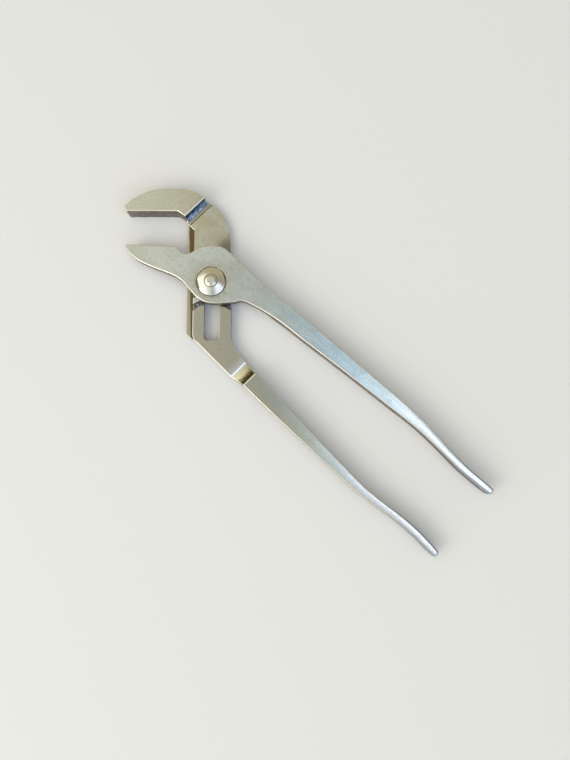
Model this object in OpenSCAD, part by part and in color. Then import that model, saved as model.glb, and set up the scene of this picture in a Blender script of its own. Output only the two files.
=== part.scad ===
// Water pump pliers, 10 inch class, with tongue-and-groove adjustment.
// The origin is on the bolt's axis in the plane of the flat back; +X runs from the jaws
// towards the handles, +Y along the slot towards the fixed jaw, +Z out of the front.

/* [Jaws] */
// Distance from the bolt's axis across to the tips of both jaws
jaw_reach = 49; // [44:0.5:56]
// Opening between the two gripping faces as the pliers lie
jaw_gap = 20; // [18:0.5:26]
// Length of each flat gripping face
grip_l = 28.6; // [24:0.2:30]
// Height of the upper jaw above its gripping face
upper_jaw_h = 13.1; // [10:0.1:18]
// Thickness of the upper jaw
jaw_t = 9.6; // [8.8:0.1:12]
// Height of the lower gripping face above the bolt's axis
lower_grip_y = 20.4; // [19:0.1:23]
// Tilt of the lower gripping face as the pliers lie, in degrees
lower_grip_tilt = 2.6; // [0:0.1:5]
// Depth of the lower jaw that keeps its full thickness behind the gripping face
jaw_block_h = 9; // [6:0.1:9.2]

/* [Shank] */
// Width of the raised face of the slotted shank
shank_w = 21.2; // [20.6:0.1:24]
// Width of the lower ledge along the shank's jaw side
ledge_w = 3.6; // [2.6:0.1:3.8]
// Thickness of the shank at its raised face
plate_t = 5.2; // [4.8:0.1:6.4]
// Thickness of the shank at the ledge
ledge_t = 3.2; // [2.4:0.1:3.6]
// Metal left between the end of the slot and the heel of the shank
heel_wall = 9.2; // [7.5:0.1:12]
// Radius of the run-out where the shank rises to the upper jaw
jaw_runout_r = 2.4; // [1.5:0.1:3]
// Width of the flat strip between that run-out and the shank's smooth face
jaw_strip_w = 1.4; // [0.6:0.1:2]
// Height of that strip over the smooth face
jaw_strip_h = 0.2; // [0.1:0.05:0.4]
// Radius of the run-out where the shank rises to its handle
handle_runout_r = 14; // [10:0.5:18]

/* [Settings] */
// Distance between two neighbouring settings
pitch = 6.9; // [6.6:0.1:7.2]
// Settings that bring the jaws closer than they lie
settings_up = 2; // [1:1:2]
// Settings that bring the jaws further apart than they lie
settings_down = 4; // [2:1:5]
// Width of each groove
groove_w = 3; // [2:0.1:3.6]
// Depth of each groove
groove_d = 1.5; // [0.8:0.1:1.8]
// Radius of the inner wall of a groove about its own bolt position
groove_r = 16.2; // [15:0.1:16.6]
// Clearance on each face of the tongue in its groove
tongue_gap = 0.1; // [0.05:0.05:0.3]
// Half of the tongue's span about the bolt, in degrees
tongue_half = 31; // [20:1:32]

/* [Bolt and nut] */
// Diameter of the bolt's plain shank
bolt_d = 8.1; // [7:0.1:9]
// Clearance of the bolt in the slot, on each side
slot_gap = 0.2; // [0.1:0.05:0.4]
// Play between the bolt and each end of the slot
slot_end_gap = 0.3; // [0.1:0.1:1]
// Running clearance of the bolt in the bore, on the radius
bore_gap = 0.05; // [0.03:0.01:0.15]
// Diameter of the bolt's head
head_d = 12.4; // [11.6:0.1:13]
// Width across the head's two keying flats
head_flats = 10.6; // [9.6:0.1:11]
// Thickness of the bolt's head
head_t = 2.1; // [1.5:0.1:2.4]
// Clearance of the head in its track, on every side
track_gap = 0.2; // [0.1:0.05:0.4]
// Diameter of the threaded end of the bolt
thread_d = 6.4; // [5:0.1:6.8]
// Clearance of the thread in the nut, on the radius
thread_gap = 0.03; // [0.02:0.01:0.1]
// Diameter of the round nut
nut_d = 16; // [14:0.1:17]
// Width across the nut's two spanner flats
nut_flats = 14.6; // [12:0.1:15]
// Full height of the nut
nut_h = 2.7; // [2:0.1:4]
// Height of the nut's straight rim
nut_rim_h = 1.3; // [1.1:0.1:1.8]
// Direction in which the nut's flats face, in degrees
nut_turn = 15; // [0:1:90]
// Clearance round the nut in its recess
nut_gap = 0.4; // [0.3:0.1:1]
// Depth of the nut's recess
recess_depth = 0.9; // [0.6:0.1:1.2]
// Diameter of the peened end of the bolt
peen_d = 7; // [6.8:0.1:8]
// Height of the peened end over the nut
peen_h = 0.9; // [0.5:0.1:1.5]

/* [Joint] */
// Running gap between the two halves
joint_gap = 0.1; // [0.05:0.05:0.3]
// Thickness of the bolted half at the joint
joint_t = 4.7; // [4.2:0.1:6]
// Radius of the round shoulder that covers the tongue
joint_r = 20.4; // [20:0.1:21.5]
// Radius of the eye below the nut
eye_r = 12; // [11.6:0.1:14]

/* [Handles] */
// Length of the slotted half's handle, from its run-out to its end
slotted_handle_l = 135.5; // [110:0.5:150]
// Length of the bolted half's handle, from the joint to its end
bolted_handle_l = 158.8; // [130:0.5:175]
// Thickness of both handles
handle_t = 8.6; // [7.6:0.1:9.4]
// Width of the slotted half's handle at its run-out
slotted_root_w = 9.4; // [8:0.1:11]
// Width of the bolted half's handle where it leaves the joint
bolted_root_w = 11.6; // [10:0.1:13]
// Width of both handles at their ends
handle_end_w = 4.2; // [3.6:0.1:6]
// Slope of the slotted half's handle, in degrees
slotted_slope = -44.4; // [-48:0.1:-43]
// Slope of the bolted half's handle, in degrees
bolted_slope = -40.8; // [-42:0.1:-34]

/* [Hidden] */
$fn = 72;
// How far a cutter runs past the surface that it cuts
over = 1;
// Width of a cutter that has to cross the whole tool
wide = 80;
// Steps in each stretch of a curved outline
curve_steps = 9;
steel = [0.70, 0.70, 0.64];

// Heights of the faces over the flat back
floor_z = plate_t - groove_d;
joint_z = plate_t + joint_gap;
front_z = joint_z + joint_t;
bolted_handle_z = front_z - handle_t;
recess_z = front_z - recess_depth;
nut_top = recess_z + nut_h;

// Slot, track and the shank that carries them
slot_w = bolt_d + 2 * slot_gap;
slot_top = settings_up * pitch + bolt_d / 2 + slot_end_gap;
slot_bottom = -settings_down * pitch - bolt_d / 2 - slot_end_gap;
slot_corner_r = 2;
track_w = head_flats + 2 * track_gap;
track_t = head_t + track_gap;
// The centres of the track's round ends lie this far past the bolt's last positions
track_past = head_d - head_flats + slot_end_gap;
plate_x = shank_w / 2;
ledge_x = plate_x + ledge_w;
heel_y = slot_bottom - heel_wall;
corner_y = heel_y + plate_x;
upper_grip_y = lower_grip_y + jaw_gap;

// Slope of the run-out to the upper jaw, and where its strip's edge crosses the shank's axis
jaw_runout_slope = 45;
jaw_runout_y = upper_grip_y + 6.8;
// Where the grooves' smooth run begins, past the first land's ends
first_land_y = 8;
// Top of the ledge, where the jaw's inner corner begins
ledge_top_y = upper_grip_y - 5.4;

// Where the axis of each handle starts
slotted_root = [plate_x + 10.4, slot_bottom - 22.05];
bolted_root = [30, -10];
// Length of the run-out that a cutter of radius r leaves over a rise
function runout_l(r, rise) = sqrt(r * r - (r - rise) * (r - rise));
slotted_runout_l = runout_l(handle_runout_r, handle_t - plate_t);

// The thick block of the lower jaw stands clear of the ledge when the handles close
block_x = -ledge_x - 2.8;
// Heights of the ends of the lower gripping face
grip_inner_x = -jaw_reach + 1.4 + grip_l;
grip_rise = sin(lower_grip_tilt) * grip_l / 2;
// Back edge of the block where it meets its side wall, parallel to the gripping face
block_y = lower_grip_y - grip_rise - jaw_block_h;
// Round relief between the lower gripping face and the shoulder: it starts at the face's end
relief_r = 5.5;
relief_start = 197;
relief_sweep = 104;

// A point at radius r and angle a about the bolt's axis
function polar(r, a) = [r * cos(a), r * sin(a)];

// A point s along a handle from its root, and n to its upper side
function along(root, slope, s, n) =
    root + s * [cos(slope), sin(slope)] + n * [-sin(slope), cos(slope)];

// One stretch of a smooth curve from b to c, with its neighbours a and d
function stretch(a, b, c, d, t) =
    b + t / 2 * (c - a)
    + t * t / 2 * (2 * a - 5 * b + 4 * c - d)
    + t * t * t / 2 * (3 * b - a - 3 * c + d);

// A smooth curve through the points p
function bend(p) = [
    for (i = [0:len(p) - 2], k = [0:curve_steps - 1])
        stretch(p[max(i - 1, 0)], p[i], p[i + 1], p[min(i + 2, len(p) - 1)], k / curve_steps),
    p[len(p) - 1]
];

// The points p from last to first
function back(p) = [for (i = [len(p) - 1:-1:0]) p[i]];

// One edge of a handle: stations hold the share of the length, the offset of the middle
// and the share of the taper that is left; side is 1 for the upper edge, -1 for the lower
function handle_edge(root, slope, l, root_w, stations, side) = [
    for (q = stations)
        let (w = handle_end_w + (root_w - handle_end_w) * q[2])
        along(root, slope, q[0] * l, q[1] + side * w / 2)
];

// The rounded end of a handle, from its upper edge to its lower edge
function handle_end(root, slope, l, n) = [
    for (a = [60:-20:-60])
        along(root, slope, l - handle_end_w * 0.35 * (1 - cos(a)), n + handle_end_w / 2 * sin(a))
];

// Stations of the two handles: straight and tapering, then an easy double bend
slotted_stations = [[0, 0.3, 1], [0.15, 0, 0.84], [0.37, -0.3, 0.5], [0.59, -0.4, 0.2],
    [0.665, 0.35, 0.13], [0.74, 1.7, 0.09], [0.81, 3.05, 0.06], [0.885, 3.75, 0.04], [0.96, 3.5, 0]];
bolted_stations = [[0.065, 0.6, 0.86], [0.19, 1.1, 0.73], [0.38, 1.8, 0.51], [0.57, 2.35, 0.33],
    [0.63, 2.45, 0.25], [0.69, 2.25, 0.17], [0.755, 1.4, 0.1], [0.82, 0.3, 0.06],
    [0.88, -0.6, 0.02], [0.965, -0.6, 0]];

function slotted_edge(side) =
    handle_edge(slotted_root, slotted_slope, slotted_handle_l, slotted_root_w, slotted_stations, side);
function bolted_edge(side) =
    handle_edge(bolted_root, bolted_slope, bolted_handle_l, bolted_root_w, bolted_stations, side);

// Whole outline of the slotted half: over the jaw, down the shank, round the handle and back
slotted_outline = concat(
    bend([
        [-jaw_reach, upper_grip_y + 2.3],
        [-jaw_reach + 0.8, upper_grip_y + 3.7],
        [-jaw_reach * 0.9, upper_grip_y + upper_jaw_h * 0.55],
        [-jaw_reach * 0.69, upper_grip_y + upper_jaw_h * 0.92],
        [-jaw_reach * 0.45, upper_grip_y + upper_jaw_h],
        [-jaw_reach * 0.22, upper_grip_y + upper_jaw_h * 0.89],
        [-4.2, upper_grip_y + 7.9],
        [plate_x - 9.5, upper_grip_y + 4.9],
        [plate_x - 5.3, upper_grip_y - 0.2],
        [plate_x - 2.1, upper_grip_y - 7.6],
        [plate_x - 0.5, upper_grip_y - 15.4],
        [plate_x, upper_grip_y - 23]
    ]),
    bend(concat(
        [[plate_x, slot_bottom + 3], [plate_x + 0.8, slot_bottom - 0.9], [plate_x + 3.1, slot_bottom - 5.4],
        along(slotted_root, slotted_slope, -8, slotted_root_w / 2 + 1.2)],
        slotted_edge(1)
    )),
    handle_end(slotted_root, slotted_slope, slotted_handle_l, 3.3),
    back(bend(slotted_edge(-1))),
    [
        along(slotted_root, slotted_slope, -8.2, -slotted_root_w / 2 - 1),
        // The lower end of the ledge sticks out a little past the shank's corner
        [-plate_x + 0.2, corner_y - 0.2],
        [-plate_x - 0.3, corner_y - 0.45],
        [-plate_x - 1.5, corner_y + 0.25],
        [-ledge_x, corner_y + 2.4],
        [-ledge_x, ledge_top_y],
        [-ledge_x - 1.2, upper_grip_y - 2.9],
        [-ledge_x - 5.2, upper_grip_y],
        [-jaw_reach + 1.2, upper_grip_y],
        [-jaw_reach + 0.3, upper_grip_y + 0.9]
    ]
);

// Whole outline of the bolted half: from the jaw's tip over the shoulder, round the handle and back
bolted_outline = concat(
    [[-jaw_reach + 1.6, lower_grip_y + grip_rise]],
    // The relief's arc, from the end of the gripping face to the shoulder
    [for (a = [0:relief_sweep / 8:relief_sweep])
        [grip_inner_x, lower_grip_y - grip_rise]
        - polar(relief_r, relief_start) + polar(relief_r, relief_start + a)],
    [for (a = [115:-8:75]) polar(joint_r, a)],
    bend(concat(
        [polar(joint_r - 0.35, 68), polar(joint_r - 1.4, 55), polar(joint_r, 22), polar(joint_r + 4.2, 5.6)],
        bolted_edge(1)
    )),
    handle_end(bolted_root, bolted_slope, bolted_handle_l, -0.5),
    back(bend(concat(
        [[-jaw_reach + 1.2, lower_grip_y - 1.6], [-jaw_reach + 6, lower_grip_y - 6.5],
        [-jaw_reach + 10.2, lower_grip_y - 9.3], [-31.5, lower_grip_y - 12.6],
        [-24.2, lower_grip_y - 15.4], [-19.1, lower_grip_y - 17.8], [-15.1, lower_grip_y - 20.9],
        polar(eye_r + 0.6, 201.5), polar(eye_r - 0.3, 228), polar(eye_r - 0.2, 251),
        polar(eye_r + 0.2, 273), polar(eye_r + 1.6, 297), polar(eye_r + 4.5, 315),
        polar(eye_r + 10.1, 329)],
        bolted_edge(-1)
    )))
);

// Prism over the outline p, from z0 to z1
module prism(p, z0, z1) {
    translate([0, 0, z0]) linear_extrude(z1 - z0) polygon(p);
}

// Round rod across a line through p at a slope, at height z
module cross_rod(p, slope, r, z) {
    translate([p[0], p[1], z])
        rotate([0, 0, slope])
            rotate([0, 90, 0])
                cylinder(r = r, h = wide, center = true, $fn = 180);
}

// Slot for the bolt, through the shank, with rounded corners
module bolt_slot() {
    corner = [slot_w / 2 - slot_corner_r, slot_corner_r];
    h = jaw_t + 2 * over;
    translate([-slot_w / 2, slot_bottom + corner[1], -over])
        cube([slot_w, slot_top - slot_bottom - 2 * corner[1], h]);
    translate([-corner[0], slot_bottom, -over])
        cube([2 * corner[0], slot_top - slot_bottom, h]);
    for (side = [-1, 1], y = [slot_bottom + corner[1], slot_top - corner[1]])
        translate([side * corner[0], y, -over]) cylinder(r = slot_corner_r, h = h);
}

// Track behind the slot, in which the bolt's keyed head slides but cannot turn
module head_track() {
    y0 = -settings_down * pitch - track_past;
    y1 = settings_up * pitch + track_past;
    translate([-track_w / 2, y0, -over]) cube([track_w, y1 - y0, track_t + over]);
    for (y = [y0, y1])
        translate([0, y, -over]) cylinder(r = track_w / 2, h = track_t + over);
}

// Ring about the bolt's axis, only on the jaw side
module arc_rib(r0, r1, z0, z1) {
    translate([0, 0, z0]) difference() {
        cylinder(r = r1, h = z1 - z0, $fn = 180);
        translate([0, 0, -over]) cylinder(r = r0, h = z1 - z0 + 2 * over, $fn = 180);
        translate([-wide / 2, -wide, -over]) cube([wide, wide, z1 - z0 + 2 * over]);
    }
}

// The band of the shank between the feet of its two run-outs
shank_band = [
    [0, jaw_runout_y] - wide / 2 * [cos(jaw_runout_slope), sin(jaw_runout_slope)],
    along(slotted_root, slotted_slope, -slotted_runout_l, -wide / 2),
    along(slotted_root, slotted_slope, -slotted_runout_l, wide / 2),
    [0, jaw_runout_y] + wide / 2 * [cos(jaw_runout_slope), sin(jaw_runout_slope)]
];

// Upright wall that turns through a round run-out into a flat strip beside the smooth face
module jaw_runout() {
    strip_z = floor_z + jaw_strip_h;
    translate([0, jaw_runout_y, strip_z]) rotate([0, 0, jaw_runout_slope]) {
        translate([-wide / 2, -over, 0]) cube([wide, jaw_strip_w + over, jaw_t]);
        translate([-wide / 2, 0, jaw_runout_r]) cube([wide, jaw_strip_w + jaw_runout_r, jaw_t]);
        translate([0, jaw_strip_w, jaw_runout_r])
            rotate([0, 90, 0])
                cylinder(r = jaw_runout_r, h = wide, center = true);
    }
}

// Smooth face at the depth of the grooves, from the jaw to the first land
module smooth_face() {
    difference() {
        intersection() {
            prism(shank_band, floor_z, jaw_t + over);
            translate([-wide / 2, first_land_y, 0]) cube([wide, wide, wide]);
        }
        cylinder(r = groove_r, h = wide, $fn = 180);
    }
}

// Ledge that lets the tongue pass beside the shank when the handles are spread
module ledge_cut() {
    prism([
        [-ledge_x - 1.6, ledge_top_y + 1.1],
        [-plate_x, ledge_top_y - 3.6],
        [-plate_x, corner_y + 1.7],
        [-plate_x + 0.4, corner_y + 0.4],
        [-plate_x + 1.1, corner_y - 0.9],
        [-plate_x + 1.9, corner_y - 1.9],
        [-plate_x, corner_y - 4],
        [-wide / 2, corner_y - 4],
        [-wide / 2, ledge_top_y - 5]
    ], ledge_t, jaw_t + over);
}

module slotted_half() {
    color(steel) difference() {
        prism(slotted_outline, 0, jaw_t);
        prism(shank_band, plate_t, jaw_t + over);
        jaw_runout();
        smooth_face();
        for (k = [1:settings_down])
            translate([0, -k * pitch, 0])
                arc_rib(groove_r, groove_r + groove_w, floor_z, jaw_t);
        ledge_cut();
        cross_rod(along(slotted_root, slotted_slope, -slotted_runout_l, 0),
            slotted_slope + 90, handle_runout_r, plate_t + handle_runout_r);
        translate([slotted_root[0], slotted_root[1], handle_t])
            rotate([0, 0, slotted_slope])
                translate([-slotted_runout_l, -wide / 2, 0])
                    cube([2 * wide, wide, jaw_t]);
        bolt_slot();
        head_track();
    }
}

// What lies behind the bolted half's joint: all but the jaw's block and the handle; the block
// steps back from the jaw's lower edge, so that only the thin front part reaches that edge
joint_band = [
    [block_x, block_y],
    [-jaw_reach + 17, block_y + 0.7],
    [-jaw_reach + 10.2, lower_grip_y - 6.8],
    [-jaw_reach + 5.6, lower_grip_y - 3.6],
    [-jaw_reach + 2.6, lower_grip_y - 0.9],
    [-wide, lower_grip_y - 0.2],
    [-wide, -wide],
    along(bolted_root, bolted_slope, 0, -wide),
    along(bolted_root, bolted_slope, 0, wide / 2),
    [block_x, wide]
];

module bolted_half() {
    color(steel) union() {
        difference() {
            prism(bolted_outline, 0, front_z);
            prism(joint_band, -over, joint_z);
            cross_rod(bolted_root, bolted_slope + 90, handle_runout_r, joint_z - handle_runout_r);
            translate([bolted_root[0], bolted_root[1], -jaw_t])
                rotate([0, 0, bolted_slope])
                    translate([-over / 10, -wide / 2, 0])
                        cube([2 * wide, wide, bolted_handle_z + jaw_t]);
            translate([0, 0, -over]) cylinder(r = bolt_d / 2 + bore_gap, h = front_z + 2 * over);
            translate([0, 0, recess_z]) cylinder(r = nut_d / 2 + nut_gap, h = recess_depth + over);
        }
        // The tongue that sits in the chosen groove
        intersection() {
            arc_rib(groove_r + tongue_gap, groove_r + groove_w - tongue_gap,
                floor_z + tongue_gap, joint_z + over);
            prism([[0, 0], polar(wide, 90 - tongue_half), polar(wide, 90 + tongue_half)], 0, front_z);
        }
    }
}

// Bolt: keyed head in the track, plain shank through the slot and the bore, threaded end, peened over
module pivot_bolt() {
    color(steel) {
        intersection() {
            cylinder(r = head_d / 2, h = head_t);
            translate([-head_flats / 2, -head_d, -over]) cube([head_flats, 2 * head_d, head_t + 2 * over]);
        }
        translate([0, 0, head_t / 2]) cylinder(r = bolt_d / 2, h = recess_z - head_t / 2);
        cylinder(r = thread_d / 2, h = nut_top);
        translate([0, 0, nut_top]) rotate_extrude() polygon([
            [0, 0], [peen_d / 2, 0], [peen_d / 2, peen_h / 3], [peen_d * 0.3, peen_h], [0, peen_h]
        ]);
    }
}

// Nut: round with two spanner flats, a straight rim and a coned top
module pivot_nut() {
    color(steel) translate([0, 0, recess_z]) rotate([0, 0, nut_turn]) difference() {
        rotate_extrude() polygon([
            [thread_d / 2 + thread_gap, 0],
            [nut_d / 2, 0],
            [nut_d / 2, nut_rim_h],
            [peen_d / 2 + 0.4, nut_h],
            [thread_d / 2 + thread_gap, nut_h]
        ]);
        for (side = [-1, 1])
            translate([side * (nut_flats / 2 + nut_d / 2), 0, nut_h / 2])
                cube([nut_d, 2 * nut_d, 2 * nut_h], center = true);
    }
}

slotted_half();
bolted_half();
pivot_bolt();
pivot_nut();
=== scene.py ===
import math

import bmesh
import bpy
from mathutils import Matrix, Vector


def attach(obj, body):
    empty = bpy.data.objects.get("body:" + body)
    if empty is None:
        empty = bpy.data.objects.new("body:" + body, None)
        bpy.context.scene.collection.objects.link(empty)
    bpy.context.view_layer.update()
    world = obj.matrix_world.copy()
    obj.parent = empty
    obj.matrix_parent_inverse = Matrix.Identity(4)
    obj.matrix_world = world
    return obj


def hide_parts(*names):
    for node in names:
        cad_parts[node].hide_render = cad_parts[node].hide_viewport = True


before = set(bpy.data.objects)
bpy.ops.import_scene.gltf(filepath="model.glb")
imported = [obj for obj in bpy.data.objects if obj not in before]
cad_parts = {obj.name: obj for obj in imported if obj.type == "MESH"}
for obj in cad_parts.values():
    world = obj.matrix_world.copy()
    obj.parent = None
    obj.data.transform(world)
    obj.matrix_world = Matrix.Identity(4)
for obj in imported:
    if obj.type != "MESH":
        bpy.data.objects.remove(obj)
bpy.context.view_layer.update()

# SLOTTED HALF
# The fixed jaw, the shank with its slot and the lower handle, one steel forging. Its faces were
# ground flat and belt-brushed, its side walls are dark from the forge and darker still as painted
# shade, and hands have rubbed its edges bright.
MM = 0.001
MERGE_M = 1e-7                    # points nearer than this are one point
EDGE_MM = 0.5                     # rounding of a rubbed outer edge
FINE_EDGE_MM = 0.26               # rounding of slot, grooves and ledge, and of upright corners
END_EDGE_MM = 1.0                 # rounding that the handles reach near their ends
HANDLE_START_MM, HANDLE_END_MM = 115, 188   # distances from the bolt between which it grows
FACET_TURN = math.radians(23)     # an outline's own facets turn by less than this
SAME_PLANE = math.radians(0.05)   # faces that turn by less than this are one flat face
WALL_TILT = 0.35                  # a face with less of its normal upright is a side wall
FLAT_TILT = 0.99999               # and one with more of it is a ground flat
GROUND, WALL, RUNOUT, RAMP, LEDGE, GROOVE = range(6)    # places in the slotted half's steels
SLOTTED_SLOPE_DEG = -44.4         # direction of its handle, and of the brushing
SLOTTED_ASIDE_MM = -23.9          # how far aside of the bolt, across that direction, the handle lies
SLOTTED_BEND_MM = 3.6             # how far the handle's end bends away
RUNOUT_LINE_MM = 47.2             # y - x along the edge of the strip below the jaw's run-out
RUNOUT_W_MM = 3.8                 # from that edge to the upright wall of the run-out
STRIP_W_MM = 1.4                  # width of the flat strip beside that edge
RAMP_CREST_MM = Vector((21.0, -54.0))       # where the ramp to the handle ends
RAMP_MM = 9.13                    # length of that ramp
FOOT_DIP_MM = 0.68                # how deep the wheel dipped at its foot
SHANK_TOP_MM, LEDGE_TOP_MM, GROOVE_MM = 5.2, 3.2, 3.7       # heights over the flat back
SHANK_HALF_W_MM, SHANK_LOW_MM, SHANK_HIGH_MM = 10.2, -33, 38       # the shank's place in x and y
GROOVES_HIGH_MM = 8               # the grooves' floors lie below this in y
DARK_UNDER_MM = 3                 # faces that look up from below this height take the walls' dark steel

slotted_way = Matrix.Rotation(math.radians(SLOTTED_SLOPE_DEG), 2) @ Vector((1, 0))
crest_along_mm = RAMP_CREST_MM @ slotted_way
foot_along_mm = crest_along_mm - RAMP_MM


def smooth_share(value, low, high):
    """0 below low, 1 above high, and an even rise between"""
    share = min(max((value - low) / (high - low), 0), 1)
    return share * share * (3 - 2 * share)


def handle_edge_mm(from_bolt):
    """Rounding of an outline's edge, which grows along the handle"""
    grown = smooth_share(from_bolt, HANDLE_START_MM, HANDLE_END_MM)
    return EDGE_MM + (END_EDGE_MM - EDGE_MM) * grown


def flat_faced_copy(node):
    """A bmesh of a node, with its loose triangles merged back into whole flat faces"""
    shape = bmesh.new()
    shape.from_mesh(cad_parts[node].data)
    bmesh.ops.remove_doubles(shape, verts=shape.verts, dist=MERGE_M)
    bmesh.ops.dissolve_limit(shape, angle_limit=SAME_PLANE, use_dissolve_boundaries=False,
                             verts=shape.verts, edges=shape.edges, delimit=set())
    return shape


def rub_edges(shape, radius_mm):
    """Marks every outward edge with its own rounding, and every inward one as a sharp crease"""
    weights = shape.edges.layers.float.new("bevel_weight_edge")
    for edge in shape.edges:
        if not edge.is_manifold or edge.calc_face_angle() < FACET_TURN:
            continue
        if not edge.is_convex:
            edge.smooth = False
            continue
        start, end = edge.verts[0].co / MM, edge.verts[1].co / MM
        radius = radius_mm((start + end) / 2)
        upright = (end - start).xy.length < 0.01
        if upright:
            radius = min(radius, FINE_EDGE_MM)
        edge[weights] = radius / END_EDGE_MM


def finish_piece(shape, name, body, node, steels):
    """Makes the piece from its bmesh, with rounded edges in the last of its steels, and places it"""
    mesh = bpy.data.meshes.new(name)
    shape.to_mesh(mesh)
    shape.free()
    mesh.polygons.foreach_set("use_smooth", [abs(p.normal.z) < FLAT_TILT for p in mesh.polygons])
    for steel in steels:
        mesh.materials.append(steel)
    piece = bpy.data.objects.new(name, mesh)
    bpy.context.scene.collection.objects.link(piece)
    bevel = piece.modifiers.new("rubbed_edges", "BEVEL")
    bevel.limit_method = "WEIGHT"
    bevel.width = END_EDGE_MM * MM
    bevel.segments = 4
    bevel.profile = 0.5
    bevel.material = len(steels) - 1
    bevel.harden_normals = True
    bevel.use_clamp_overlap = False
    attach(piece, body)
    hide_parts(node)


class Wire:
    """A value in a material, on which sums can be written as in Python"""

    def __init__(self, finish, socket):
        self.finish = finish
        self.socket = socket

    def part(self, name):
        """Another output of the node that this value comes from"""
        return Wire(self.finish, self.socket.node.outputs[name])

    def sum(self, operation, first, second):
        return self.finish.add("ShaderNodeMath", {"operation": operation}, {0: first, 1: second})

    def __add__(self, other):
        return self.sum("ADD", self, other)

    def __radd__(self, other):
        return self.sum("ADD", other, self)

    def __sub__(self, other):
        return self.sum("SUBTRACT", self, other)

    def __rsub__(self, other):
        return self.sum("SUBTRACT", other, self)

    def __mul__(self, other):
        return self.sum("MULTIPLY", self, other)

    def __rmul__(self, other):
        return self.sum("MULTIPLY", other, self)

    def __truediv__(self, other):
        return self.sum("DIVIDE", self, other)

    def __abs__(self):
        return self.sum("ABSOLUTE", self, 0.0)


class Finish:
    """A material, or the room's light, and the one way in which its nodes are made"""

    def __init__(self, owner, shader="Principled BSDF", **constants):
        self.owner = owner
        owner.use_nodes = True
        self.tree = owner.node_tree
        self.shader = self.tree.nodes[shader]
        self.shade(**constants)

    def add(self, kind, settings=None, sockets=None, out=0):
        """One node: its settings first, then the values or wires of its sockets"""
        node = self.tree.nodes.new(kind)
        for setting, value in (settings or {}).items():
            setattr(node, setting, value)
        for socket, value in (sockets or {}).items():
            self.feed(node.inputs[socket], value)
        return Wire(self, node.outputs[out])

    def feed(self, socket, value):
        """Links a wire to a socket, or sets the socket to a number or a colour"""
        if isinstance(value, Wire):
            self.tree.links.new(value.socket, socket)
        elif hasattr(socket.default_value, "__len__") and len(socket.default_value) == 4:
            socket.default_value = (*value[:3], 1)
        else:
            socket.default_value = value

    def shade(self, **wires):
        """Values or wires for the shader's own sockets"""
        for socket, wire in wires.items():
            self.feed(self.shader.inputs[socket.replace("_", " ").title()], wire)

    def places(self, turn_deg=0, stretch=(1, 1, 1)):
        """Object coordinates, turned about Z so that X runs along the brushing, then stretched"""
        place = self.add("ShaderNodeTexCoord", out="Object")
        turned = self.add("ShaderNodeMapping", None,
                          {"Vector": place, "Rotation": (0, 0, math.radians(-turn_deg))})
        return self.add("ShaderNodeVectorMath", {"operation": "MULTIPLY"}, {0: turned, 1: stretch})

    def mm(self, turn_deg=0):
        """The three Object coordinates in millimetres, in axes turned about Z"""
        parts = self.add("ShaderNodeSeparateXYZ", None, {0: self.places(turn_deg)})
        return parts / MM, parts.part("Y") / MM, parts.part("Z") / MM

    def from_axis(self):
        """Distance from the bolt's axis, in metres"""
        flat = self.places(stretch=(1, 1, 0))
        return self.add("ShaderNodeVectorMath", {"operation": "LENGTH"}, {0: flat}, out="Value")

    def noise(self, places, size_mm, detail=2.0, rough=0.5):
        """Grey noise about 0.5 whose lumps are about size_mm across"""
        return self.add("ShaderNodeTexNoise", {"noise_dimensions": "3D"},
                        {"Vector": places, "Scale": 1 / (size_mm * MM), "Detail": detail,
                         "Roughness": rough}, out="Fac")

    def rise(self, value, low, high, top=1.0):
        """0 where the value is below low, top above high, and an even rise between"""
        return self.add("ShaderNodeMapRange", {"interpolation_type": "SMOOTHSTEP"},
                        {0: value, 1: low, 2: high, 3: 0.0, 4: top})

    def fall(self, value, low, high):
        """1 where the value is below low, 0 above high, and an even fall between"""
        return 1 - self.rise(value, low, high)

    def mix(self, share, first, second):
        """A colour between two others"""
        return self.add("ShaderNodeMix", {"data_type": "RGBA"}, {0: share, 6: first, 7: second}, out=2)

    def bump(self, height_mm):
        """Feeds the shader a surface with that relief"""
        self.shade(normal=self.add("ShaderNodeBump", None,
                                   {"Strength": 1.0, "Distance": MM, "Height": height_mm}, out="Normal"))


def new_steel(name):
    """A bare metal material, still without its nodes"""
    return Finish(bpy.data.materials.new(name), metallic=1.0)


def darker(colour, share):
    """A colour times a share"""
    return tuple(channel * share for channel in colour)


def brushed_steel(name, turn_deg, light, dark, stain, roughness, marks, crown):
    """Ground and brushed steel: clouds of two tones, faint stains, fine grain along the brushing"""
    steel = new_steel(name)
    plain = steel.places()
    clouds = steel.noise(plain, size_mm=11, detail=3)
    blotches = steel.noise(plain, size_mm=3.2, detail=4, rough=0.6)
    specks = steel.noise(plain, size_mm=0.8, detail=3, rough=0.65)
    grain = steel.noise(steel.places(turn_deg, (0.04, 1, 1)), size_mm=0.3, detail=3, rough=0.65)
    streaks = steel.noise(steel.places(turn_deg, (0.03, 1, 1)), size_mm=1.6, detail=2)
    colour = steel.mix(steel.rise(clouds * 0.65 + streaks * 0.35, 0.38, 0.62), dark, light)
    stained = steel.rise(blotches, 0.54, 0.76, 0.45)
    colour = steel.mix(stained, colour, stain)
    for mask, marked in marks(steel):
        colour = steel.mix(mask, colour, marked)
    scratched = grain * 0.2 + steel.rise(specks, 0.44, 0.68, 0.3)
    colour = steel.mix(scratched, colour, darker(dark, 0.55))
    steel.shade(base_color=colour, roughness=roughness - 0.05 + grain * 0.14 + stained * 0.1)
    steel.bump((grain + blotches * 0.3) * 0.006 - crown(steel))
    return steel.owner


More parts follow.
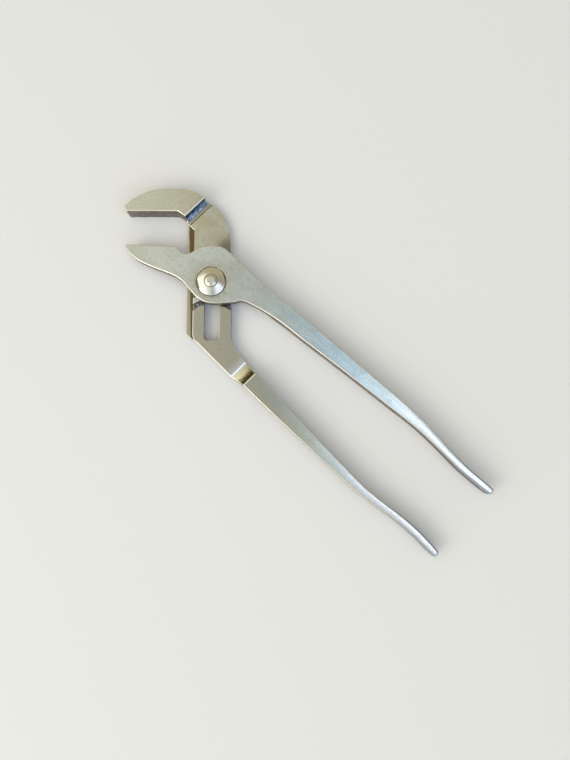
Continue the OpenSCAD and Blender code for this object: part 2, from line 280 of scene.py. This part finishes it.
def rubbed_steel(name, colour, roughness):
    """Steel rubbed bright by hands, a little of its grain left, and greyer far out on the handles as
    painted shade on their rounded edges
    """
    steel = new_steel(name)
    marks = steel.noise(steel.places(), size_mm=0.8, detail=4, rough=0.6)
    x, y = steel.mm()[:2]
    bright = steel.mix(marks, colour, darker(colour, 0.82))
    # painted shade: greyer far out, where the handles' rounded edges turn away
    far_out_painted_light = steel.rise(x - y, 180, 250)
    steel.shade(base_color=steel.mix(far_out_painted_light, bright, (0.36, 0.40, 0.44)),
                roughness=roughness + marks * 0.12)
    return steel.owner


def forged_steel(name, colour, scale_colour, roughness):
    """Dark steel as it came from the forge, darkened further as painted shade, with patches of scale and
    a faintly pitted skin
    """
    steel = new_steel(name)
    plain = steel.places()
    patches = steel.noise(plain, size_mm=2.4, detail=4, rough=0.6)
    pits = steel.noise(plain, size_mm=0.45, detail=3, rough=0.6)
    # the walls' dark tone is partly the forge's colour and partly painted shade
    steel.shade(base_color=steel.mix(steel.rise(patches, 0.42, 0.66), colour, scale_colour),
                roughness=roughness + pits * 0.14)
    steel.bump((pits + patches) * 0.018)
    return steel.owner


def past_runout_line(x_mm, y_mm):
    """How far a place lies past the lower edge of the strip beside the run-out, in mm"""
    return (y_mm - x_mm - RUNOUT_LINE_MM) * math.sqrt(0.5)


def slotted_marks(steel):
    """Tints of its ground faces, each as a mask and the colour that it brings; besides stains, lands and
    strip, some are painted light: the jaw lighter, painted shade low down, a painted highlight far out,
    the shoulder's painted shadow and painted shade in a crease
    """
    x, y, z = steel.mm()
    front = steel.rise(z, 1, 2)
    on_shank = front * steel.fall(z, SHANK_TOP_MM - 0.3, SHANK_TOP_MM)
    on_plate = front * steel.fall(z, SHANK_TOP_MM + 0.1, SHANK_TOP_MM + 0.3)
    along = steel.mm(SLOTTED_SLOPE_DEG)[0]
    tan = steel.noise(steel.places(), size_mm=5.5, detail=4)
    browned = steel.rise(tan, 0.42, 0.7) * (0.2 + steel.rise(x, -36, -14, 0.45)) * steel.rise(y, 14, 22)
    # painted shade: darker low on the shank and plate
    painted_low_shade = steel.fall(y, 6, 16) * steel.fall(x - y, 95, 150)
    # painted highlight: near white far out on the handle
    far_out_painted_light = steel.rise(x - y, 130, 195)
    land = steel.rise(y, -11.9, -11.6) * steel.fall(y, -5, -4) * front
    # painted light: the jaw lighter and greener
    jaw = steel.rise(y, 26, 34) * steel.fall(x, -24, -8)
    by_ramp = steel.rise(along, foot_along_mm - 5, foot_along_mm) * on_plate
    # painted shadow of the bolted half's shoulder, dark and soft-edged on the shank beside it
    from_shoulder = steel.from_axis() / MM - x * 0.7 + tan * 7
    painted_shoulder_shadow = steel.fall(from_shoulder, 21.5, 30) * steel.rise(x + tan * 5, -1, 9) * steel.rise(y, 12, 15)
    past_line = past_runout_line(x, y)
    strip = steel.rise(past_line, 0.1, 0.5) * steel.fall(past_line, STRIP_W_MM, 2.6)
    # painted shade: a thin dark line in the crease at the strip's lower edge
    painted_crease_shade = steel.fall(abs(past_line - 0.1), 0.14, 0.3)
    return ((browned, (0.54, 0.47, 0.29)),
            (painted_low_shade * 0.85, (0.48, 0.445, 0.35)),
            (far_out_painted_light * 0.9, (0.89, 0.89, 0.89)),
            (land * 0.8, (0.80, 0.80, 0.74)),
            (jaw * 0.6, (0.68, 0.69, 0.58)),
            (by_ramp * 0.6, (0.80, 0.81, 0.80)),
            (painted_shoulder_shadow * on_shank * 0.95, (0.20, 0.17, 0.13)),
            (strip * on_shank * 0.6, (0.42, 0.39, 0.26)),
            (painted_crease_shade * on_shank * 0.95, (0.07, 0.05, 0.035)))


def slotted_crown(steel):
    """How far its handle's face falls away from the handle's bent middle line, in mm"""
    x, y = steel.mm(SLOTTED_SLOPE_DEG)[:2]
    past_crest = x - crest_along_mm
    aside = y - SLOTTED_ASIDE_MM - steel.rise(past_crest, 78, 118, SLOTTED_BEND_MM)
    return aside * aside * (steel.rise(past_crest, -2, 8, 0.0035)
                            + steel.rise(past_crest, 60, 115, 0.03))


def runout_steel(name):
    """The run-out below the jaw, blue as a painted reflection of the sky, with pale flecks"""
    steel = new_steel(name)
    flecks = steel.noise(steel.places(SLOTTED_SLOPE_DEG, (1, 0.35, 1)), size_mm=0.9, detail=4, rough=0.65)
    x, y = steel.mm()[:2]
    # painted reflection of the blue sky: dark blue with pale flecks
    painted_sky_blue = steel.mix(steel.rise(flecks, 0.42, 0.62), (0.085, 0.12, 0.18), (0.36, 0.45, 0.58))
    by_strip = steel.fall(past_runout_line(x, y), STRIP_W_MM, STRIP_W_MM + 0.9)
    steel.shade(base_color=steel.mix(by_strip, painted_sky_blue, (0.42, 0.40, 0.28)),
                roughness=0.3 + flecks * 0.1)
    steel.bump(flecks * 0.012)
    return steel.owner


def ramp_steel(name):
    """The ramp to the handle: a dip at its foot with a painted highlight in it, straw-coloured, and
    painted shade toward its crest
    """
    steel = new_steel(name)
    up_ramp = (steel.mm(SLOTTED_SLOPE_DEG)[0] - foot_along_mm) / RAMP_MM
    mottle = steel.noise(steel.places(SLOTTED_SLOPE_DEG, (1, 0.6, 1)), size_mm=1.4, detail=4, rough=0.65)
    ragged = up_ramp + (mottle - 0.5) * 0.9
    colour = steel.mix(steel.rise(up_ramp, 0.12, 0.45), (0.66, 0.65, 0.57), (0.60, 0.57, 0.39))
    # painted shade: dark toward the crest
    colour = steel.mix(steel.rise(ragged, 0.46, 0.82), colour, (0.10, 0.08, 0.035))
    # painted highlight: near white along the foot, over the bump's dip
    foot = steel.fall(up_ramp, 0.1, 0.15)
    steel.shade(base_color=steel.mix(foot, colour, (0.96, 0.96, 0.95)),
                roughness=0.22 + mottle * 0.2)
    steel.bump(mottle * 0.008 - steel.rise(up_ramp, -0.03, 0.13, FOOT_DIP_MM))
    return steel.owner


def groove_steel(name):
    """The floor of the grooves, near black as painted shade, with light scratches where the tongue has
    rubbed
    """
    steel = new_steel(name)
    scratches = steel.noise(steel.places(), size_mm=1.2, detail=5, rough=0.7)
    scratched = steel.rise(scratches, 0.49, 0.69)
    # painted shade: the floor's steel is near black
    steel.shade(base_color=steel.mix(scratched, (0.11, 0.12, 0.12), (0.55, 0.59, 0.57)),
                roughness=0.3 + scratches * 0.1)
    steel.bump(scratches * 0.015)
    return steel.owner


def ledge_steel(name):
    """The ledge beside the shank: khaki, and brown along the step as painted shade"""
    steel = new_steel(name)
    x, y = steel.mm()[:2]
    patches = steel.noise(steel.places(stretch=(1, 0.4, 1)), size_mm=1.3, detail=4, rough=0.6)
    # painted shade in brown along the step, on the ledge's side by the wall
    painted_corner_shade = steel.rise(x + y * 0.028 + (patches - 0.5) * 0.8, -12.9, -12.2)
    steel.shade(base_color=steel.mix(painted_corner_shade, (0.46, 0.43, 0.32), (0.17, 0.115, 0.05)),
                roughness=0.26 + patches * 0.16)
    steel.bump(patches * 0.01)
    return steel.owner


slotted_steels = [
    brushed_steel("slotted_brushed", SLOTTED_SLOPE_DEG, light=(0.70, 0.68, 0.54),
                  dark=(0.61, 0.59, 0.46), stain=(0.46, 0.42, 0.29), roughness=0.22,
                  marks=slotted_marks, crown=slotted_crown),
    forged_steel("slotted_walls", (0.27, 0.24, 0.21), scale_colour=(0.16, 0.14, 0.12), roughness=0.42),
    runout_steel("slotted_runout"),
    ramp_steel("slotted_ramp"),
    ledge_steel("slotted_ledge"),
    groove_steel("slotted_grooves"),
    rubbed_steel("slotted_rubbed", (0.80, 0.775, 0.68), roughness=0.2)]


def slotted_steel_of(face):
    """Which of its steels a face of the slotted half is in"""
    middle = face.calc_center_median() / MM
    upward = face.normal.z > WALL_TILT
    past_line = past_runout_line(middle.x, middle.y)
    near_ramp = (middle.xy - RAMP_CREST_MM).length < RAMP_MM + 4
    if face.normal.x - face.normal.y > 0.15 and STRIP_W_MM < past_line < RUNOUT_W_MM + 0.2:
        return RUNOUT
    if abs(face.normal.z) < WALL_TILT:
        return WALL
    if upward and near_ramp and face.normal.z < 0.9999:
        return RAMP
    if upward and abs(middle.z - LEDGE_TOP_MM) < 0.05:
        return LEDGE
    if middle.y < GROOVES_HIGH_MM and abs(middle.z - GROOVE_MM) < 0.05:
        return GROOVE
    return WALL if upward and middle.z < DARK_UNDER_MM else GROUND


def slotted_edge_mm(middle):
    """Wide on the outline, growing along the handle, and fine on slot, grooves and ledge"""
    from_bolt = middle.xy.length
    on_runout_line = abs(past_runout_line(middle.x, middle.y)) < 0.1 and middle.z < SHANK_TOP_MM
    in_shank = SHANK_LOW_MM < middle.y < SHANK_HIGH_MM and abs(middle.x) < SHANK_HALF_W_MM
    on_ledge = middle.x < -10 and middle.z < LEDGE_TOP_MM + 0.1 and from_bolt < 60
    if on_runout_line:
        return 0.0
    return FINE_EDGE_MM if in_shank or on_ledge else handle_edge_mm(from_bolt)


slotted_shape = flat_faced_copy("slotted_half")
for face in slotted_shape.faces:
    face.material_index = slotted_steel_of(face)
rub_edges(slotted_shape, slotted_edge_mm)
finish_piece(slotted_shape, "slotted_half_steel", "slotted_half", "slotted_half",
             slotted_steels)

# BOLTED HALF
# The moving jaw, the round shoulder with the nut's recess and the upper handle, one forging in
# a lighter, cooler steel than its partner, brushed along the handle and rubbed bright at its edges.
BOLTED_SLOPE_DEG = -40.8          # direction of its handle, and of the brushing
BOLTED_ROOT_MM, BOLTED_ASIDE_MM = 29.2, 13.0      # where the handle starts, along and across that
BOLTED_BELLY_MM, BOLTED_BEND_MM = 1.4, 3.0        # how far its middle and then its end bend away
RECESS_MM = 9.2                   # what lies nearer to the bolt's axis belongs to the recess
SHOULDER_MM = 19.5                # outer end of the tongue and the joint's hidden face
FACE_MM, JOINT_MM = 10.0, 5.3     # heights of the front face and of the joint over the flat back


def bolted_marks(steel):
    """Darker tints round the nut, close round its recess, below it and at the jaw's tip, and a painted
    bluish-white reflection far out on the handle
    """
    x, y = steel.mm()[:2]
    ragged = steel.from_axis() / MM + steel.noise(steel.places(), size_mm=2.6, detail=3) * 5
    round_nut = steel.fall(ragged, 11.5, 17)
    below_nut = steel.fall(y, -17, -9) * steel.fall(x, 2, 20)
    jaw_tip = steel.fall(x, -42, -24)
    by_recess = steel.fall(ragged, 10.6, 12.2)
    # painted reflection: bluish white far out on the handle
    far_out_painted_light = steel.rise(x - y, 140, 195)
    return ((round_nut * 0.5, (0.57, 0.56, 0.43)),
            (below_nut * 0.85, (0.42, 0.40, 0.30)),
            (jaw_tip * 0.6, (0.58, 0.59, 0.49)),
            (by_recess, (0.50, 0.46, 0.33)),
            (far_out_painted_light * 0.8, (0.93, 0.96, 0.98)))


def bolted_crown(steel):
    """How far its handle's face falls away from the handle's bent middle line, in mm"""
    x, y = steel.mm(BOLTED_SLOPE_DEG)[:2]
    past_root = x - BOLTED_ROOT_MM
    bend = steel.rise(past_root, 0, 95, BOLTED_BELLY_MM) - steel.rise(past_root, 103, 140, BOLTED_BEND_MM)
    aside = y - BOLTED_ASIDE_MM - bend
    return aside * aside * (steel.rise(past_root, -15, 30, 0.0035)
                            + steel.rise(past_root, 80, 135, 0.03))


bolted_steels = [
    brushed_steel("bolted_brushed", BOLTED_SLOPE_DEG, light=(0.745, 0.77, 0.71),
                  dark=(0.65, 0.665, 0.60), stain=(0.54, 0.52, 0.42), roughness=0.21,
                  marks=bolted_marks, crown=bolted_crown),
    forged_steel("bolted_walls", (0.28, 0.25, 0.225), scale_colour=(0.17, 0.15, 0.13), roughness=0.42),
    rubbed_steel("bolted_rubbed", (0.82, 0.80, 0.72), roughness=0.2)]


def bolted_edge_mm(middle):
    """Fine round the recess, the bore and the tongue, wide elsewhere and growing on the handle"""
    from_bolt = middle.xy.length
    by_joint = middle.z < JOINT_MM + 0.1 and from_bolt < SHOULDER_MM
    return FINE_EDGE_MM if from_bolt < RECESS_MM or by_joint else handle_edge_mm(from_bolt)


bolted_shape = flat_faced_copy("bolted_half")
for face in bolted_shape.faces:
    middle = face.calc_center_median() / MM
    # painted shade: the recess floor round the nut takes the dark steel of the walls
    in_recess = middle.xy.length < RECESS_MM and JOINT_MM < middle.z < FACE_MM - 0.1
    face.material_index = WALL if in_recess or abs(face.normal.z) < WALL_TILT else GROUND
rub_edges(bolted_shape, bolted_edge_mm)
finish_piece(bolted_shape, "bolted_half_steel", "bolted_half", "bolted_half",
             bolted_steels)

# PIVOT BOLT
# A turned steel bolt: a head with two flats that ride in the track at the back, a plain shank,
# and an end that a press has peened over the nut, which left a flat top inside a rounded ring.
TURNED_STEPS = 128
HEAD_R_MM, HEAD_FLAT_MM, HEAD_T_MM = 6.2, 5.3, 2.1
SHANK_R_MM, THREAD_R_MM = 4.05, 3.2
SHANK_CHAMFER_MM = 0.2
NUT_FOOT_MM, NUT_TOP_MM = 9.1, 11.8         # the nut's height over the flat back
PEEN_R_MM, PEEN_TOP_MM, FLAT_TOP_R_MM = 3.5, 12.7, 2.05
PEEN_RIM_MM = PEEN_TOP_MM - 0.62            # height of the peened end's widest place
LATHE_RING_MM = 0.16                        # size of the rings that the lathe left


def turned(profile_mm, flat_mm, flats_deg):
    """A bmesh turned from a profile of radius and height, with two flats milled across it"""
    shape = bmesh.new()
    points = [shape.verts.new((radius * MM, 0, height * MM)) for radius, height in profile_mm]
    edges = [shape.edges.new(pair) for pair in zip(points, points[1:])]
    has_bore = profile_mm[0][0] > 0
    if has_bore:
        edges.append(shape.edges.new((points[-1], points[0])))
    bmesh.ops.spin(shape, geom=points + edges, cent=(0, 0, 0), axis=(0, 0, 1),
                   angle=2 * math.pi, steps=TURNED_STEPS, use_merge=True)
    bmesh.ops.remove_doubles(shape, verts=shape.verts, dist=MERGE_M)
    for side in (0, 180):
        away = Matrix.Rotation(math.radians(flats_deg + side), 3, "Z") @ Vector((1, 0, 0))
        cut = bmesh.ops.bisect_plane(shape, geom=shape.verts[:] + shape.edges[:] + shape.faces[:],
                                     dist=MERGE_M, plane_co=away * flat_mm * MM, plane_no=away,
                                     clear_outer=True)
        rim = [part for part in cut["geom_cut"] if isinstance(part, bmesh.types.BMEdge)]
        bmesh.ops.contextual_create(shape, geom=rim)
    bmesh.ops.recalc_face_normals(shape, faces=shape.faces)
    return shape


def rounded(corner, before, after, radius_mm, steps=4):
    """The points of a profile's corner, rounded between the directions of its two neighbours"""
    corner, before, after = Vector(corner), Vector(before), Vector(after)
    start = corner + (before - corner).normalized() * radius_mm
    end = corner + (after - corner).normalized() * radius_mm
    return [start.lerp(corner, t / steps).lerp(corner.lerp(end, t / steps), t / steps)
            for t in range(steps + 1)]


bolt_profile = [
    (0, 0),
    *rounded((HEAD_R_MM, 0), (0, 0), (HEAD_R_MM, HEAD_T_MM), 0.3),
    *rounded((HEAD_R_MM, HEAD_T_MM), (HEAD_R_MM, 0), (0, HEAD_T_MM), 0.2),
    (SHANK_R_MM, HEAD_T_MM),
    (SHANK_R_MM, NUT_FOOT_MM - SHANK_CHAMFER_MM),
    (SHANK_R_MM - SHANK_CHAMFER_MM, NUT_FOOT_MM),
    (THREAD_R_MM, NUT_FOOT_MM),
    (THREAD_R_MM, NUT_TOP_MM),
    (PEEN_R_MM - 0.15, NUT_TOP_MM),
    *rounded((PEEN_R_MM, PEEN_RIM_MM), (PEEN_R_MM - 0.1, NUT_TOP_MM),
             (FLAT_TOP_R_MM, PEEN_TOP_MM), 0.28, steps=6),
    *rounded((FLAT_TOP_R_MM, PEEN_TOP_MM), (PEEN_R_MM, PEEN_RIM_MM), (0, PEEN_TOP_MM), 0.2),
    (0, PEEN_TOP_MM)]


def turned_steel(name, light, dark, roughness):
    """Bright steel from the lathe: fine rings, a few dull spots, and painted shade in the crease round
    the peened end
    """
    steel = new_steel(name)
    from_axis = steel.from_axis()
    rings = steel.add("ShaderNodeTexNoise", {"noise_dimensions": "1D"},
                      {"W": from_axis, "Scale": 1 / (LATHE_RING_MM * MM), "Detail": 2.0}, out="Fac")
    spots = steel.noise(steel.places(), size_mm=1.1, detail=4, rough=0.6)
    colour = steel.mix(rings * 0.4 + steel.rise(spots, 0.5, 0.75, 0.6), light, dark)
    from_ring = abs(from_axis / MM - (PEEN_R_MM + 0.1))
    # painted shade in the crease round the peened end, a thin dark ring
    painted_corner_shade = steel.fall(from_ring, 0.1, 0.3) * steel.rise(steel.mm()[2], 8, 10)
    steel.shade(base_color=steel.mix(painted_corner_shade * 0.85, colour, (0.10, 0.09, 0.07)),
                roughness=roughness + rings * 0.08 + spots * 0.06)
    steel.bump((rings + spots * 0.4) * 0.004)
    return steel.owner


def keep_edge_mm(middle):
    """No rounding on a turned piece, whose profile already has its own"""
    return 0.0


bolt_turned = turned_steel("bolt_turned", (0.73, 0.73, 0.63), (0.58, 0.57, 0.45), roughness=0.2)
bolt_shape = turned(bolt_profile, HEAD_FLAT_MM, flats_deg=0)
rub_edges(bolt_shape, keep_edge_mm)
finish_piece(bolt_shape, "pivot_bolt_steel", "pivot", "pivot_bolt", [bolt_turned])

# PIVOT NUT
# A turned nut: a straight rim, a smooth cone up to the bolt's end, and two flats for a spanner.
# It is bright from the lathe, with faint rings round its axis.
NUT_R_MM, NUT_FLAT_MM, NUT_TURN_DEG = 8.0, 7.3, 15
NUT_BORE_MM, NUT_RIM_MM, CONE_TOP_R_MM = 3.23, 10.4, 3.9
NUT_CHAMFER_MM = 0.15
CONE_LOW_MM, CONE_HIGH_MM = (6.4, 11.02), (5.1, 11.46)      # radius and height of the swollen cone
nut_profile = [
    (NUT_BORE_MM, NUT_FOOT_MM),
    (NUT_R_MM - NUT_CHAMFER_MM, NUT_FOOT_MM),
    (NUT_R_MM, NUT_FOOT_MM + NUT_CHAMFER_MM),
    *rounded((NUT_R_MM, NUT_RIM_MM), (NUT_R_MM, NUT_FOOT_MM), CONE_LOW_MM, 0.4, steps=5),
    CONE_LOW_MM,
    CONE_HIGH_MM,
    *rounded((CONE_TOP_R_MM, NUT_TOP_MM), (NUT_R_MM, NUT_RIM_MM), (NUT_BORE_MM, NUT_TOP_MM), 0.2),
    (NUT_BORE_MM, NUT_TOP_MM)]
nut_turned = turned_steel("nut_turned", (0.80, 0.80, 0.75), (0.64, 0.63, 0.55), roughness=0.15)
nut_shape = turned(nut_profile, NUT_FLAT_MM, NUT_TURN_DEG)
rub_edges(nut_shape, keep_edge_mm)
finish_piece(nut_shape, "pivot_nut_steel", "pivot", "pivot_nut", [nut_turned])

# FLOOR AND LIGHT
# A plain pale floor under the tool. The room's light is laid out as on a flat ceiling: a warm wall
# low on the left, a large cool panel with a blue edge on the right, a dimmer one farther right, a
# dark place low in front, and a dim olive side behind the jaws. One soft box stands on the left.
FLOOR_RADIUS_M = 4.0
LOWEST_SKY_Z = 0.05               # lower directions meet the flat ceiling as if they were this high
floor_shape = bmesh.new()
bmesh.ops.create_circle(floor_shape, cap_ends=True, segments=96, radius=FLOOR_RADIUS_M)
floor_mesh = bpy.data.meshes.new("floor")
floor_shape.to_mesh(floor_mesh)
floor_shape.free()
pale = Finish(bpy.data.materials.new("pale_floor"), roughness=0.9, base_color=(0.80, 0.80, 0.80))
floor_mesh.materials.append(pale.owner)
floor = bpy.data.objects.new("floor", floor_mesh)
bpy.context.scene.collection.objects.link(floor)

room = Finish(bpy.data.worlds.new("room"), "Background", strength=1.0)
sky = room.add("ShaderNodeSeparateXYZ", None, {0: room.add("ShaderNodeTexCoord", out="Generated")})
sky_z = room.add("ShaderNodeMath", {"operation": "MAXIMUM"}, {0: sky.part("Z"), 1: LOWEST_SKY_Z})
across, along = sky / sky_z, sky.part("Y") / sky_z      # a place on a flat ceiling, 1 high
left_wall = room.fall(across, -0.21, 0.02)
right_wall = room.rise(across, 0.1, 0.4)
behind = room.rise(along, 0.4, 1.0)
panel = room.fall(along + across * 0.5, 0.21, 0.34)
blue_edge = room.rise(across + along * 0.25, 0.05, 0.15) * panel
bright_panel = room.rise(across, 0.11, 0.215) * panel
far_panel = room.rise(across, 0.46, 0.62) * panel
below = room.fall(along, -0.6, -0.34) * room.fall(abs(across - 0.04), 0.05, 0.2)
warm_wall = room.fall(across, -0.62, -0.28) * room.fall(along, 0.7, 1.2)
panel_end = room.rise(along, -0.12, 0.05)
light = room.mix(left_wall, (0.47, 0.48, 0.47), (0.84, 0.84, 0.78))
for share, colour in ((right_wall, (0.35, 0.32, 0.27)),
                      (behind, (0.50, 0.45, 0.27)),
                      (blue_edge, room.mix(panel_end, (0.62, 0.77, 0.88), (0.58, 1.22, 1.90))),
                      (bright_panel, room.mix(panel_end, (1.22, 1.28, 1.42), (1.75, 1.82, 1.95))),
                      (far_panel, (0.94, 1.12, 1.36)),
                      (below, (0.26, 0.31, 0.38)),
                      (warm_wall, (1.45, 1.38, 1.22))):
    light = room.mix(share, light, colour)
camera_ray = room.add("ShaderNodeLightPath", out="Is Camera Ray")
mirrored = camera_ray.part("Is Glossy Ray") + camera_ray.part("Is Transmission Ray")
near_floor = room.fall(sky.part("Z"), 0.02, 0.10)
backdrop = camera_ray + mirrored * near_floor           # plain grey beyond the floor
room.shade(color=room.mix(backdrop, light, (0.70, 0.70, 0.68)))
bpy.context.scene.world = room.owner

BOX_SIZE_M, BOX_AWAY_M = 0.5, 1.1
BOX_RADIANCE = 3.2
BOX_WAY = Vector((-0.70, -0.42, 0.58)).normalized()     # low on the left, in front of the tool
TOOL_MIDDLE = Vector((0.05, -0.045, 0.0))
box_light = bpy.data.lights.new("warm_box", "AREA")
box_light.shape = "SQUARE"
box_light.size = BOX_SIZE_M
box_light.energy = BOX_RADIANCE * math.pi * BOX_SIZE_M ** 2
box_light.color = (1.0, 0.96, 0.88)
warm_box = bpy.data.objects.new("warm_box", box_light)
warm_box.location = TOOL_MIDDLE + BOX_WAY * BOX_AWAY_M
warm_box.rotation_euler = BOX_WAY.to_track_quat("Z", "Y").to_euler()
warm_box.visible_camera = False
bpy.context.scene.collection.objects.link(warm_box)
bpy.context.scene.view_settings.view_transform = "Standard"

# CAMERA
# Nearly straight above the tool, as the photograph was taken: 33 cm over the floor, with the
# picture's 570 by 760 pixels and its long side on the sensor.
FOCAL_PX, LONG_SIDE_PX, SENSOR_MM = 600, 760, 36
CAMERA_PLACE_M = Vector((0.03844, -0.09276, 0.330))
CAMERA_RIGHT = Vector((0.99998, 0, 0.006238))
CAMERA_UP = Vector((-0.000743, 0.992882, 0.119097))
CAMERA_BACKWARDS = Vector((-0.006194, -0.119099, 0.992863))
camera_data = bpy.data.cameras.new("camera")
camera_data.sensor_width = SENSOR_MM
camera_data.lens = FOCAL_PX / LONG_SIDE_PX * SENSOR_MM
camera = bpy.data.objects.new("camera", camera_data)
camera.location = CAMERA_PLACE_M
camera.rotation_euler = Matrix((CAMERA_RIGHT, CAMERA_UP, CAMERA_BACKWARDS)).transposed().to_euler()
bpy.context.scene.collection.objects.link(camera)
bpy.context.scene.camera = camera
